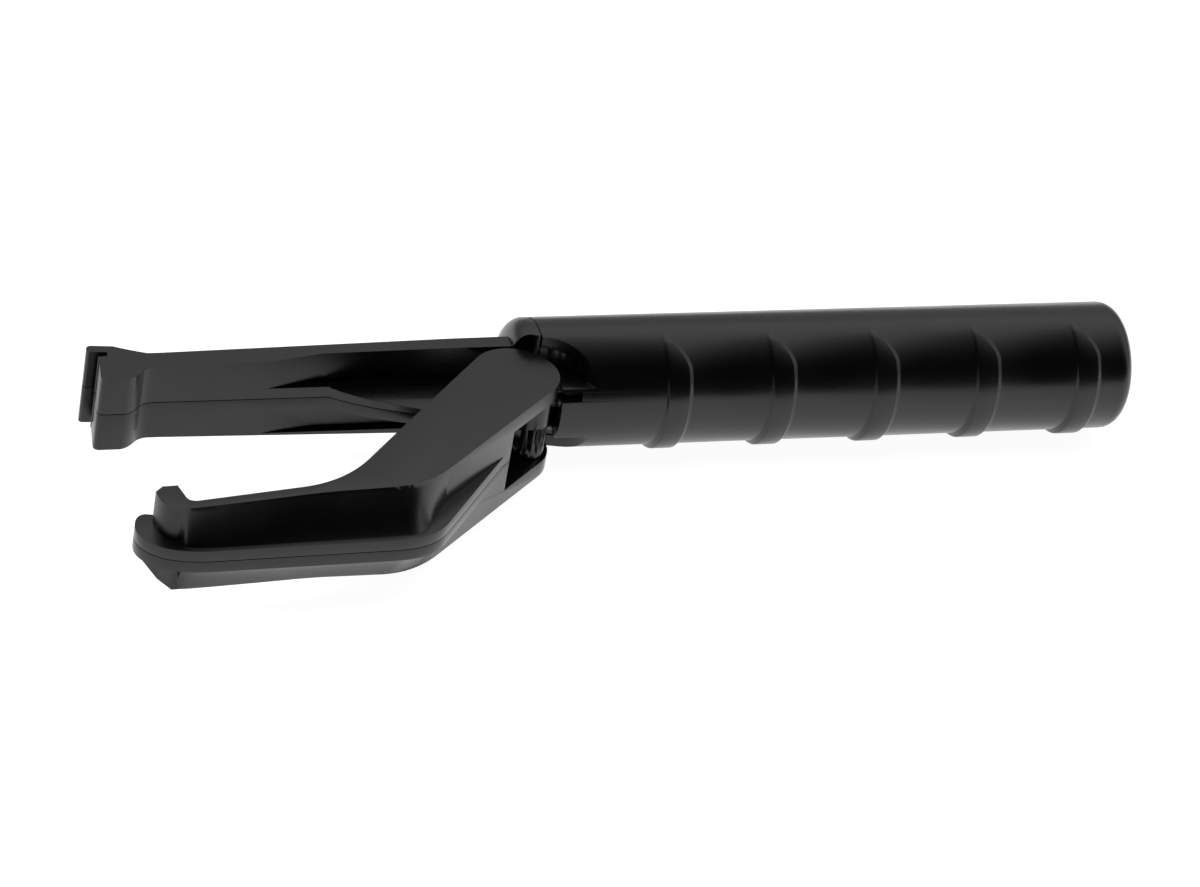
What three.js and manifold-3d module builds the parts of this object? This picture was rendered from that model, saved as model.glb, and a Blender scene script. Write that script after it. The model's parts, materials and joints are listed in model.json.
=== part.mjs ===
// Electrode holder for manual arc welding, as an assembly of separate solids.
// Millimetres. X runs along the grip towards the cable end, Z along the lever's pivot, +Z up.
// The working frame has the grip's axis at y = z = 0; the last lines move the whole holder so that
// the bottom centre of its box is the origin.
import * as THREE from 'three';
import { mergeVertices } from 'three/addons/utils/BufferGeometryUtils.js';
import Module from 'manifold-3d';

const wasm = await Module();
wasm.setup();

// ---- driving dimensions ----
const GAP = 0.3; // clearance between neighbouring solids
const SEAM = 0.15; // half of the parting gap between an upper and a lower half-shell

const GRIP_R = 16;
const GRIP_BORE_R = 13.2;
const GRIP_FRONT_X = 8.0;
const GRIP_NEAR_FRONT_X = 11.4; // the side below the lever starts a little further back
const GRIP_END_X = 163;
const GRIP_END_ROUND = 4;
const CABLE_HOLE_R = 8;
const RIB_FIRST_X = 42.5;
const RIB_PITCH = 27.1;
const RIB_COUNT = 5;
const RIB_HEIGHT = 1.15; // height at the underside, fading to nothing over the top
const RIB_FRONT = 4.5; // front edge ahead of the rib's station
const RIB_LAND = 4.8;
const RIB_REAR = 2.2;
const SPIGOT_X = [13, 21.4]; // near side of the jaw's spigot in the grip
const TONGUE_SLOT = { x: 16.4, z: [4.2, 6.5] };
const NOTCH = { x: 6.8, y: -17.0, r: 13.3, z: 7.3, zBelow: 6.6 }; // pockets that let the lever's cheeks turn
const TONGUE_Z = 7.6; // the near front is cut back between the pockets only

const PIVOT = { x: 3.4, y: -16.6 };
const CLOSE_DEG = 25.2; // lever travel from open to shut
const HEAD = { x: -1.1, y: -14.0, r: 10.56 };
const INNER_DEG = 47.3; // direction of the lever's inner edge, off -X
const OUTER_DEG = 42.0;
const CHEEK_IN_Z = 8.4;
const CHEEK_OUT_Z = 12.5;
const LEVER_TIP_Z = 11.2;
const FIN_Z = 2.9;
const WALL = 3.2;

const BOSS_R = 4.4;
const BOSS_Z = 8.1;
const BUSH_R = 3.2;
const PIN_R = 2.2;
const PIN_Z = 10.9;

const LINK_R = 9; // distance from pivot to link pin
const LINK_PIN_R = 1.4;
const LINK_PIN_Z = 10.6;
const ROD_R = 1.9;
const ROD_EYE_R = 3.2;
const ROD_EYE_Z = 2.5;
const ROD_END_X = 65;
const SEAT_X = [22, 25.5];
const WASHER_X = [57.5, 58.8];
const NUT_X = [59.1, 62.6];
const SPRING_R = 3.7;
const SPRING_WIRE_R = 0.6;
const SPRING_TURNS = 9;

const RECESS_Z = 9.9; // the arm's lower recess leaves a rim below it
const ARM_NEAR_Y = -3.4;
const ARM_FAR_Y = 2.8;
const ARM_ROOT_Z = 11.4;
const ARM_TIP_Z = 10.0;
const BAR = { y0: 0.3, y1: 1.5, z: 7.0, x0: -90, x1: 73.7 };
const SOCKET = { x0: 74, x1: 124, r: 9, bore: 6.2, floor: 84 };

const DEG = Math.PI / 180;
// The link pin swings equally to both sides of the pivot, and the rod's line halves its rise.
const linkX = PIVOT.x - LINK_R * Math.sin((CLOSE_DEG / 2) * DEG);
const linkY = PIVOT.y + LINK_R * Math.cos((CLOSE_DEG / 2) * DEG);
const rodLine = (linkY + PIVOT.y + LINK_R) / 2;

// ---- geometry to solid and back ----
function solid(geometry) {
  const bare = (geometry.index ? geometry.toNonIndexed() : geometry).clone();
  for (const name of Object.keys(bare.attributes)) {
    if (name !== 'position') bare.deleteAttribute(name);
  }
  const merged = mergeVertices(bare, 1e-4);
  const p = merged.attributes.position;
  const t = new Uint32Array(merged.index.array);
  const a = new THREE.Vector3();
  const b = new THREE.Vector3();
  const c = new THREE.Vector3();
  let volume = 0;
  for (let i = 0; i < t.length; i += 3) {
    a.fromBufferAttribute(p, t[i]);
    b.fromBufferAttribute(p, t[i + 1]);
    c.fromBufferAttribute(p, t[i + 2]);
    volume += a.dot(b.cross(c));
  }
  if (volume < 0) {
    for (let i = 0; i < t.length; i += 3) [t[i + 1], t[i + 2]] = [t[i + 2], t[i + 1]];
  }
  return new wasm.Manifold(new wasm.Mesh({ numProp: 3, vertProperties: p.array, triVerts: t }));
}

function toMesh(name, shape, look) {
  const m = shape.getMesh();
  const g = new THREE.BufferGeometry();
  g.setAttribute('position', new THREE.BufferAttribute(new Float32Array(m.vertProperties), 3));
  g.setIndex(new THREE.BufferAttribute(new Uint32Array(m.triVerts), 1));
  g.computeVertexNormals();
  const mesh = new THREE.Mesh(g, new THREE.MeshStandardMaterial(look));
  mesh.name = name;
  return mesh;
}

// ---- basic solids ----
function box(x0, x1, y0, y1, z0, z1) {
  const g = new THREE.BoxGeometry(x1 - x0, y1 - y0, z1 - z0);
  g.translate((x0 + x1) / 2, (y0 + y1) / 2, (z0 + z1) / 2);
  return solid(g);
}

function prism(shape, z0, z1, curveSegments = 10) {
  const g = new THREE.ExtrudeGeometry(shape, { depth: z1 - z0, bevelEnabled: false, curveSegments });
  g.translate(0, 0, z0);
  return solid(g);
}

// A side profile, points (x, z), extruded right across the holder.
function slabXZ(points) {
  const shape = new THREE.Shape(points.map(([x, z]) => new THREE.Vector2(x, z)));
  const g = new THREE.ExtrudeGeometry(shape, { depth: 200, bevelEnabled: false });
  g.translate(0, 0, -100);
  g.rotateX(Math.PI / 2);
  return solid(g);
}

function rodX(x0, x1, r, y = 0, z = 0, sides = 24, r1 = r) {
  const g = new THREE.CylinderGeometry(r1, r, x1 - x0, sides);
  g.rotateZ(-Math.PI / 2);
  g.translate((x0 + x1) / 2, y, z);
  return solid(g);
}

function rodY(y0, y1, r, x, z, sides = 16) {
  const g = new THREE.CylinderGeometry(r, r, y1 - y0, sides);
  g.translate(x, (y0 + y1) / 2, z);
  return solid(g);
}

function rodZ(z0, z1, r, x, y, sides = 24) {
  const g = new THREE.CylinderGeometry(r, r, z1 - z0, sides);
  g.rotateX(Math.PI / 2);
  g.translate(x, y, (z0 + z1) / 2);
  return solid(g);
}

// A turned solid about the X axis from a profile of (x, r) points that starts and ends on the axis.
function turnedX(profile, sides = 64) {
  const g = new THREE.LatheGeometry(profile.map(([x, r]) => new THREE.Vector2(r, x)), sides);
  g.rotateZ(-Math.PI / 2);
  return solid(g);
}

function union(parts) {
  return parts.reduce((sum, part) => sum.add(part));
}

function polygon(points) {
  return new THREE.Shape(points.map(([x, y]) => new THREE.Vector2(x, y)));
}

// A closed outline moved outwards by d along every edge's normal, with mitred corners.
function grown(points, d) {
  const n = points.length;
  const area = points.reduce((sum, [x, y], i) => {
    const [u, v] = points[(i + 1) % n];
    return sum + x * v - u * y;
  }, 0);
  const side = Math.sign(area) * d;
  const normal = ([x0, y0], [x1, y1]) => {
    const l = Math.hypot(x1 - x0, y1 - y0);
    return [(y1 - y0) / l, (x0 - x1) / l];
  };
  return points.map((point, i) => {
    const a = normal(points[(i + n - 1) % n], point);
    const b = normal(point, points[(i + 1) % n]);
    const k = side / (1 + a[0] * b[0] + a[1] * b[1]);
    return [point[0] + (a[0] + b[0]) * k, point[1] + (a[1] + b[1]) * k];
  });
}

// ---- plan outlines ----
// The lever's body: round head, straight diagonal edges, bend, thin front wall and hook.
function leverOutline() {
  const a1 = INNER_DEG * DEG;
  const a2 = OUTER_DEG * DEG;
  const s = new THREE.Shape();
  s.moveTo(HEAD.x + HEAD.r * Math.sin(a2), HEAD.y - HEAD.r * Math.cos(a2));
  s.absarc(HEAD.x, HEAD.y, HEAD.r, a2 - Math.PI / 2, a1 + Math.PI / 2, false);
  s.lineTo(-46, -47.1);
  s.quadraticCurveTo(-53.8, -55.5, -64, -56.8);
  s.lineTo(-90.2, -60.0);
  s.lineTo(-91.6, -59.0);
  s.lineTo(-92.6, -53.4);
  s.lineTo(-96.4, -53.5);
  s.lineTo(-98.2, -55.4);
  s.quadraticCurveTo(-98.3, -62.0, -94.0, -62.7);
  s.lineTo(-60, -59.3);
  s.lineTo(-44, -58.9);
  s.quadraticCurveTo(-35.3, -58.9, -28, -52.45);
  s.closePath();
  return s;
}

// The fin along the lever's mid-plane: flush at the window, proud from the bend to the nose.
function finOutline() {
  const s = new THREE.Shape();
  s.moveTo(-6.6, -32.4);
  s.lineTo(-29.5, -61.1);
  s.quadraticCurveTo(-34.0, -66.5, -43, -66.7);
  s.lineTo(-85, -67.9);
  s.quadraticCurveTo(-94, -68.2, -98.4, -65.4);
  s.quadraticCurveTo(-103.2, -61.8, -102.6, -57.2);
  s.quadraticCurveTo(-101.9, -52.7, -99.2, -52.4);
  s.lineTo(-97.4, -52.8);
  s.lineTo(-94.4, -57.5);
  s.lineTo(-92.2, -61.0);
  s.lineTo(-60, -58.0);
  s.lineTo(-44, -57.4);
  s.lineTo(-31, -52.6);
  s.lineTo(-9.2, -33.2);
  s.closePath();
  return s;
}

// The stiffening plate inside the fin.
const CORE_OUTLINE = [[-17, -42.5], [-31.5, -60.6], [-42, -65.2], [-86, -66.4], [-95.5, -65.2], [-98, -61.6],
  [-92, -63.2], [-60, -60.4], [-43.5, -60.2], [-34, -57.6], [-20, -44.2]];

// The space between the cheeks, open to the pivot and to the lever's inner side.
function cheekSpace() {
  const a = OUTER_DEG * DEG;
  const edge = (t, inward) => [
    HEAD.x + HEAD.r * Math.sin(a) - t * Math.cos(a) - inward * Math.sin(a),
    HEAD.y - HEAD.r * Math.cos(a) - t * Math.sin(a) + inward * Math.cos(a),
  ];
  const windowT = 16.6; // length of the window along the outer edge
  const lastT = 40;
  return polygon([
    edge(windowT, -12),
    edge(windowT, WALL),
    edge(lastT, WALL),
    [-46, -42],
    [-30, 0],
    [20, 6],
    [22, -30],
  ]);
}

// The fixed jaw: straight arm and a forked tip with a lip.
function armOutline() {
  const s = new THREE.Shape();
  s.moveTo(3, ARM_NEAR_Y);
  s.lineTo(3, ARM_FAR_Y + 0.6);
  s.lineTo(-40, ARM_FAR_Y);
  s.lineTo(-87.5, ARM_FAR_Y);
  s.quadraticCurveTo(-91.5, 4.2, -95.2, 6.1);
  s.lineTo(-100.4, 6.6);
  s.quadraticCurveTo(-102.0, 6.4, -101.8, 4.5);
  s.lineTo(-99.4, 1.6);
  s.lineTo(-100.7, -6.6);
  s.quadraticCurveTo(-100.5, -7.9, -99.2, -7.9);
  s.lineTo(-94.4, -7.9);
  s.quadraticCurveTo(-92.6, -7.6, -90.6, -5.4);
  s.quadraticCurveTo(-89.2, -3.6, -87, ARM_NEAR_Y);
  s.closePath();
  return s;
}

// The gusset in the mid-plane that carries the pivot boss.
function gussetOutline() {
  const s = new THREE.Shape();
  s.moveTo(-46, ARM_NEAR_Y + 1.5);
  s.lineTo(-43, ARM_NEAR_Y - 0.4);
  s.quadraticCurveTo(-34, -9.6, -22, -12.2);
  s.lineTo(-8, -16.6);
  s.lineTo(PIVOT.x - 1.4, PIVOT.y - 4.1);
  s.lineTo(PIVOT.x, PIVOT.y);
  s.lineTo(PIVOT.x - 3, PIVOT.y + 4.4);
  s.lineTo(-2.6, -10.4);
  s.lineTo(-2.6, ARM_NEAR_Y + 1.5);
  s.closePath();
  return s;
}

// ---- fixed jaw ----
// Wedge taken off the arm's near face above and below the gusset, deeper towards the root.
function armRecess() {
  return polygon([[-59, ARM_NEAR_Y], [-46, -1.0], [9, -0.9], [9, -9], [-59, -9]]);
}

function headSweep(clearance) {
  const steps = 4;
  const discs = [];
  for (let i = 0; i <= steps; i++) {
    const turn = (-CLOSE_DEG * DEG * i) / steps;
    const dx = HEAD.x - PIVOT.x;
    const dy = HEAD.y - PIVOT.y;
    const x = PIVOT.x + dx * Math.cos(turn) - dy * Math.sin(turn);
    const y = PIVOT.y + dx * Math.sin(turn) + dy * Math.cos(turn);
    discs.push(rodZ(BOSS_Z, 20, HEAD.r + clearance, x, y, 48));
  }
  return union(discs);
}

function collar() {
  return turnedX([[0.6, 0], [0.6, 8.6], [1.6, ARM_ROOT_Z], [2.6, 13.4], [3.8, 15.1], [5.9, GRIP_R],
    [GRIP_FRONT_X - GAP, GRIP_R], [GRIP_FRONT_X - GAP, GRIP_BORE_R - GAP], [SPIGOT_X[1], GRIP_BORE_R - GAP],
    [SPIGOT_X[1], 0]]);
}

// The spigot floors the pockets and closes the bore behind them; between them it leaves room for the link.
function root(floor) {
  const front = box(-10, GRIP_FRONT_X, -20, ARM_NEAR_Y + 0.4, -20, 20);
  const link = box(-10, SPIGOT_X[0], -20, ARM_NEAR_Y + 0.4, -5, 5);
  const pocket = rodZ(floor - GAP, 20, NOTCH.r + GAP, NOTCH.x, NOTCH.y, 56);
  return collar().subtract(front).subtract(link).subtract(pocket);
}

// The upper gusset thins towards its edge; the lower one stays level for its screw.
function upperGusset() {
  const above = box(-60, 20, -30, 0, 0, 10).rotate([8.1, 0, 0]).translate([0, -2, FIN_Z]);
  return prism(gussetOutline(), 0, FIN_Z).subtract(above);
}

// Half-shell of the fixed jaw as the upper one lies; the lower one is mirrored from its own variant.
function jawShell(floor, recessTop, gusset) {
  const profile = slabXZ([[-110, SEAM], [25, SEAM], [25, 20], [0.6, 20], [0.6, ARM_ROOT_Z], [-13, ARM_ROOT_Z],
    [-42, 11.0], [-72, 10.3], [-84, ARM_TIP_Z], [-110, ARM_TIP_Z]]);
  let arm = prism(armOutline(), 0, ARM_ROOT_Z, 6);
  arm = arm.subtract(prism(armRecess(), FIN_Z, recessTop));
  const boss = rodZ(0, BOSS_Z, BOSS_R, PIVOT.x, PIVOT.y, 40);
  let shell = union([arm, root(floor), gusset, boss]);
  shell = shell.intersect(profile);
  shell = shell.subtract(headSweep(0.5));
  const lip = { x0: BAR.x0 - GAP, x1: 30, y0: BAR.y0 - GAP, y1: BAR.y1 + GAP };
  shell = shell.subtract(box(lip.x0, lip.x1, lip.y0, lip.y1, -1, BAR.z + GAP));
  shell = shell.subtract(prism(contactOutline(GAP), -1, BAR.z + GAP));
  shell = shell.subtract(prism(tipSlot(), -1, 20));
  shell = shell.subtract(rodZ(-1, BOSS_Z + 1, BUSH_R + GAP, PIVOT.x, PIVOT.y, 32));
  return shell.subtract(rodSpace());
}

function rodSpace() {
  return rodX(-3, 30, 4.9, rodLine, 0, 24);
}

// The boss is moulded whole on the upper shell; this is the part of it below the parting plane.
function bossBelow() {
  const boss = rodZ(-BOSS_Z, SEAM + 0.5, BOSS_R, PIVOT.x, PIVOT.y, 40);
  return boss.subtract(rodZ(-20, 20, BUSH_R + GAP, PIVOT.x, PIVOT.y, 32)).subtract(rodSpace());
}

// The contact block fills the tip's core and shows at the bottom of the slot behind the lip.
function contactOutline(grow = 0) {
  return polygon([[-89.9, -2.2 - grow], [-97.0 - grow, -2.2 - grow], [-97.0 - grow, 3.4 + grow],
    [-95, 3.4 + grow], [-89.9, 1.6 + grow]]);
}

function tipSlot() {
  return polygon([[-97.2, 2.1], [-99.4, 1.8], [-105, 1.8], [-105, 4.2], [-97.2, 3.7]]);
}

// ---- lever ----
// Concave fillet from the front wall's top edge down to the fin, running out at the nose and after the bend.
// Each station is a point of the wall, its inward direction in degrees, and the fillet's foot on the fin.
const COVE = [[-93, -62.6, 90, -93.6, -63], [-90, -62.3, 90, -90.5, -66.6], [-75, -60.8, 90, -75, -66.6],
  [-60, -59.3, 90, -60, -66.1], [-44, -58.9, 90, -43.5, -65.5], [-39.7, -58.5, 98, -37.5, -64.9],
  [-35.6, -57.3, 108, -34.0, -61.6], [-31.7, -55.3, 120, -31.1, -57.2], [-28, -52.45, 132, -27.9, -52.8]];
const COVE_TOP = 13.5;
const COVE_FOOT = FIN_Z - 0.3;

function cove() {
  const curve = (point) => new THREE.CatmullRomCurve3(COVE.map(point));
  const into = (d) => ([x, y, a]) =>
    new THREE.Vector3(x + d * Math.cos(a * DEG), y + d * Math.sin(a * DEG), 0);
  const back = curve(into(1.5));
  const start = curve(into(0.5));
  const foot = curve(([, , , x, y]) => new THREE.Vector3(x, y, 0));
  const steps = 5;
  const count = 2 * (COVE.length - 1);
  const rings = [];
  for (let i = 0; i <= count; i++) {
    const [b, s, f] = [back, start, foot].map((path) => path.getPoint(i / count));
    const ring = [[b.x, b.y, 0.5], [b.x, b.y, COVE_TOP]];
    for (let k = 0; k <= steps; k++) {
      const u = k / steps;
      const fall = (1 - u) * (1 - 0.5 * u);
      ring.push([s.x + (f.x - s.x) * u, s.y + (f.y - s.y) * u, COVE_FOOT + (COVE_TOP - COVE_FOOT) * fall]);
    }
    rings.push(ring);
  }
  return loft(rings);
}

// A closed body through rings of points; each end is a fan from the ring's first point.
function loft(rings) {
  const n = rings[0].length;
  const index = [];
  for (let i = 0; i + 1 < rings.length; i++) {
    for (let k = 0; k < n; k++) {
      const [a, b] = [i * n + k, i * n + ((k + 1) % n)];
      index.push(a, b, b + n, a, b + n, a + n);
    }
  }
  const last = (rings.length - 1) * n;
  for (let k = 1; k + 1 < n; k++) index.push(0, k + 1, k, last, last + k, last + k + 1);
  const g = new THREE.BufferGeometry();
  g.setAttribute('position', new THREE.Float32BufferAttribute(rings.flat(2), 3));
  g.setIndex(index);
  return solid(g);
}

function leverShell() {
  const profile = slabXZ([[-110, SEAM], [14, SEAM], [14, CHEEK_OUT_Z], [-42, CHEEK_OUT_Z], [-95, LEVER_TIP_Z],
    [-110, LEVER_TIP_Z]]);
  let shell = prism(leverOutline(), 0, CHEEK_OUT_Z, 12);
  shell = shell.subtract(prism(cheekSpace(), -1, CHEEK_IN_Z));
  shell = shell.add(prism(finOutline(), 0, FIN_Z, 6)).add(cove()).intersect(profile);
  shell = shell.subtract(prism(polygon(grown(CORE_OUTLINE, GAP)), -1, 1 + GAP));
  shell = shell.subtract(rodZ(0, PIN_Z + GAP, PIN_R + GAP, PIVOT.x, PIVOT.y, 32));
  return shell.subtract(rodZ(0, LINK_PIN_Z + GAP, LINK_PIN_R + GAP, linkX, linkY, 20));
}

// Below the fin the nose is filled, and slopes up from the hook's foot to the fin's front.
function noseBody() {
  return prism(polygon([[-102.0, -57.5], [-100.6, -53.6], [-98.0, -53.2], [-93.4, -54.4], [-93.4, -62.4],
    [-98, -64.2], [-101.4, -61.6]]), -LEVER_TIP_Z, -FIN_Z + 0.5);
}

function noseChamfer() {
  return slabXZ([[-110, -FIN_Z], [-101.6, -FIN_Z], [-93.9, -LEVER_TIP_Z], [-93.9, -20], [-110, -20]]);
}

function mirrorZ(shape) {
  const m = shape.getMesh();
  const v = new Float32Array(m.vertProperties);
  for (let i = 2; i < v.length; i += 3) v[i] = -v[i];
  const t = new Uint32Array(m.triVerts);
  for (let i = 0; i < t.length; i += 3) [t[i + 1], t[i + 2]] = [t[i + 2], t[i + 1]];
  return new wasm.Manifold(new wasm.Mesh({ numProp: 3, vertProperties: v, triVerts: t }));
}

// ---- grip ----
function roundedEnd() {
  const points = [];
  const steps = 5;
  for (let i = 0; i <= steps; i++) {
    const a = (i / steps) * (Math.PI / 2);
    const inward = GRIP_END_ROUND * (1 - Math.cos(a));
    points.push([GRIP_END_X - GRIP_END_ROUND * (1 - Math.sin(a)), GRIP_R - inward]);
  }
  return points;
}

// A rib is a turned band set off-centre downwards, so it is highest at the underside and fades out on top.
function rib(x) {
  const offset = RIB_HEIGHT * 0.51;
  const r = GRIP_R + RIB_HEIGHT - offset;
  const front = x - RIB_FRONT;
  const land = front + 0.7 + RIB_LAND;
  const band = turnedX([[front, 0], [front, r - RIB_HEIGHT], [front + 0.7, r],
    [land, r], [land + RIB_REAR, r - RIB_HEIGHT * 1.6], [land + RIB_REAR, 0]], 72);
  return band.translate([0, 0, -offset]);
}

function grip() {
  let tube = turnedX([[GRIP_FRONT_X, 0], [GRIP_FRONT_X, GRIP_R], ...roundedEnd(), [GRIP_END_X, 0]], 72);
  for (let i = 0; i < RIB_COUNT; i++) tube = tube.add(rib(RIB_FIRST_X + i * RIB_PITCH));
  tube = tube.subtract(rodX(0, GRIP_END_X - 5, GRIP_BORE_R, 0, 0, 48));
  tube = tube.subtract(rodX(100, GRIP_END_X + 1, CABLE_HOLE_R, 0, 0, 40));
  tube = tube.subtract(rodZ(NOTCH.z, 20, NOTCH.r, NOTCH.x, NOTCH.y, 56));
  tube = tube.subtract(rodZ(-20, -NOTCH.zBelow, NOTCH.r, NOTCH.x, NOTCH.y, 56));
  tube = tube.subtract(box(5, TONGUE_SLOT.x, -20, -8, TONGUE_SLOT.z[0], TONGUE_SLOT.z[1]));
  tube = tube.subtract(box(0, GRIP_NEAR_FRONT_X, -20, -3.2, -TONGUE_Z, TONGUE_Z));
  return tube.subtract(rodY(0, 20, 2.8 + GAP, 114, 0, 20));
}

// ---- draw rod and spring ----
function drawRod() {
  const eye = rodZ(-ROD_EYE_Z, ROD_EYE_Z, ROD_EYE_R, linkX, rodLine, 32);
  const shank = rodX(linkX + 1, ROD_END_X, ROD_R, rodLine, 0, 20);
  return eye.add(shank).subtract(rodZ(-5, 5, LINK_PIN_R + GAP, linkX, rodLine, 20));
}

class Helix extends THREE.Curve {
  constructor(x0, x1, turns, r, y) {
    super();
    Object.assign(this, { x0, x1, turns, r, y });
  }

  getPoint(t, target = new THREE.Vector3()) {
    const a = t * this.turns * Math.PI * 2;
    return target.set(this.x0 + (this.x1 - this.x0) * t, this.y + this.r * Math.cos(a), this.r * Math.sin(a));
  }
}

function spring() {
  const section = new THREE.Shape();
  section.absarc(0, 0, SPRING_WIRE_R, 0, Math.PI * 2, false);
  const inset = SPRING_WIRE_R + GAP;
  const path = new Helix(SEAT_X[1] + inset, WASHER_X[0] - inset, SPRING_TURNS, SPRING_R, rodLine);
  const g = new THREE.ExtrudeGeometry(section, {
    steps: SPRING_TURNS * 12, extrudePath: path, bevelEnabled: false, curveSegments: 3,
  });
  return solid(g);
}

function washer(x0, x1, r, hole, y) {
  return rodX(x0, x1, r, y, 0, 28).subtract(rodX(x0 - 1, x1 + 1, hole, y, 0, 20));
}

function springSeat() {
  let disc = rodX(SEAT_X[0], SEAT_X[1], GRIP_BORE_R - GAP, 0, 0, 48);
  disc = disc.subtract(box(10, 40, BAR.y0 - GAP, BAR.y1 + GAP, -BAR.z - GAP, BAR.z + GAP));
  return disc.subtract(rodX(10, 40, ROD_R + GAP, rodLine, 0, 20));
}

// ---- cable socket ----
const CLAMP_SCREW_X = [93, 107];

function socket() {
  let s = turnedX([[SOCKET.x0, 0], [SOCKET.x0, SOCKET.r - 2], [SOCKET.x0 + 3, SOCKET.r], [108, SOCKET.r],
    [109.5, 12.6], [118.5, 12.6], [120, SOCKET.r], [SOCKET.x1, SOCKET.r], [SOCKET.x1, 0]], 48);
  s = s.subtract(rodX(SOCKET.floor, SOCKET.x1 + 1, SOCKET.bore, 0, 0, 32));
  for (const x of CLAMP_SCREW_X) s = s.subtract(rodZ(3, 20, 2.5 + GAP, x, 0, 20));
  return s.subtract(rodY(0, 20, 2.5 + GAP, 114, 0, 20));
}

function setScrewZ(x) {
  const body = rodZ(5.9, 10.4, 2.5, x, 0, 20);
  const slot = box(x - 3, x + 3, -0.5, 0.5, 9.4, 11);
  return body.subtract(slot);
}

function handleScrew() {
  const body = rodY(8.0, 15.2, 2.5, 114, 0, 20);
  return body.subtract(box(110, 118, 14.2, 16, -0.5, 0.5));
}

function pressureStrip() {
  return box(88, 112, -3, 3, 4.5, 5.2).intersect(rodX(80, 120, SOCKET.bore - GAP, 0, 0, 32));
}

function cableBush() {
  const r = CABLE_HOLE_R - GAP;
  const hole = 5.8;
  const x0 = GRIP_END_X - 9;
  const outer = turnedX([[x0, 0], [x0, r + 2.6], [x0 + 3.6, r + 2.6], [x0 + 3.6, r], [GRIP_END_X + 0.2, r],
    [GRIP_END_X + 0.2, 0]], 40);
  return outer.subtract(rodX(x0 - 1, GRIP_END_X + 2, hole, 0, 0, 32));
}

// ---- fasteners through the shells, entered from below ----
const GUSSET_SCREW = { x: -15, y: -9.6, top: 1.9 };
const LEVER_SCREWS = [{ x: -47, y: -55.4, top: 8 }, { x: -97.6, y: -60.2, top: 1.9 }];

function shellScrew(s, seat, headDepth) {
  const head = rodZ(seat, seat + headDepth, 2.2, s.x, s.y, 20);
  return head.add(rodZ(seat + headDepth - 0.5, s.top, 1.2, s.x, s.y, 16));
}

function screwHole(s, seat, headDepth) {
  const head = rodZ(seat - 20, seat + headDepth + GAP, 2.2 + GAP, s.x, s.y, 20);
  return head.add(rodZ(seat - 1, s.top + GAP, 1.2 + GAP, s.x, s.y, 16));
}

// ---- looks ----
const PLASTIC = { color: 0x17181a, roughness: 0.45, metalness: 0.0 };
const BRASS = { color: 0xb58b45, roughness: 0.35, metalness: 1.0 };
const COPPER = { color: 0xb46a48, roughness: 0.35, metalness: 1.0 };
const STEEL = { color: 0x9a9ca0, roughness: 0.3, metalness: 1.0 };
const RUBBER = { color: 0x1b1b1c, roughness: 0.8, metalness: 0.0 };

// ---- assembly ----
const gussetSeat = -FIN_Z + 0.2;
const bendSeat = -CHEEK_OUT_Z + 1.2;
const noseSeat = -4.2;
const headDepth = 1.3;

let jawUpper = jawShell(NOTCH.z, 20, upperGusset()).add(bossBelow());
let jawLower = mirrorZ(jawShell(NOTCH.zBelow, RECESS_Z, prism(gussetOutline(), 0, FIN_Z))).subtract(
  rodZ(-20, 1, BOSS_R + GAP, PIVOT.x, PIVOT.y, 40));
let leverUpper = leverShell();
let leverLower = mirrorZ(leverUpper).add(noseBody()).subtract(noseChamfer());
let core = prism(polygon(CORE_OUTLINE), -1, 1);

jawUpper = jawUpper.subtract(screwHole(GUSSET_SCREW, gussetSeat, headDepth));
jawLower = jawLower.subtract(screwHole(GUSSET_SCREW, gussetSeat, headDepth));
const seats = [bendSeat, noseSeat];
LEVER_SCREWS.forEach((s, i) => {
  const hole = screwHole(s, seats[i], headDepth);
  leverUpper = leverUpper.subtract(hole);
  leverLower = leverLower.subtract(hole);
  core = core.subtract(hole);
});

const holder = new THREE.Group();
const parts = [
  ['handle_tube', grip(), PLASTIC],
  ['fixed_jaw_upper_shell', jawUpper, PLASTIC],
  ['fixed_jaw_lower_shell', jawLower, PLASTIC],
  ['conductor_bar', box(BAR.x0, BAR.x1, BAR.y0, BAR.y1, -BAR.z, BAR.z), COPPER],
  ['fixed_contact', prism(contactOutline(), -BAR.z, BAR.z).subtract(
    box(BAR.x0 - GAP, 0, BAR.y0 - GAP, BAR.y1 + GAP, -20, 20)), BRASS],
  ['pivot_pin', rodZ(-PIN_Z, PIN_Z, PIN_R, PIVOT.x, PIVOT.y, 32), STEEL],
  ['pivot_bush', rodZ(-BOSS_Z, BOSS_Z, BUSH_R, PIVOT.x, PIVOT.y, 32).subtract(
    rodZ(-20, 20, PIN_R + GAP, PIVOT.x, PIVOT.y, 32)), BRASS],
  ['spring_seat', springSeat(), PLASTIC],
  ['closing_spring', spring(), STEEL],
  ['cable_socket', socket(), BRASS],
  ['cable_pressure_strip', pressureStrip(), BRASS],
  ['handle_screw', handleScrew(), STEEL],
  ['cable_entry_bush', cableBush(), RUBBER],
  ['gusset_screw', shellScrew(GUSSET_SCREW, gussetSeat, headDepth), STEEL],
  ['lever_upper_shell', leverUpper, PLASTIC],
  ['lever_lower_shell', leverLower, PLASTIC],
  ['lever_core', core, STEEL],
  ['link_pin', rodZ(-LINK_PIN_Z, LINK_PIN_Z, LINK_PIN_R, linkX, linkY, 20), STEEL],
  ['draw_rod', drawRod(), STEEL],
  ['spring_washer', washer(WASHER_X[0], WASHER_X[1], 5, ROD_R + GAP, rodLine), STEEL],
];
for (const [name, shape, look] of parts) holder.add(toMesh(name, shape, look));
CLAMP_SCREW_X.forEach((x, i) => holder.add(toMesh(`cable_clamp_screw_${i + 1}`, setScrewZ(x), STEEL)));
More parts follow.
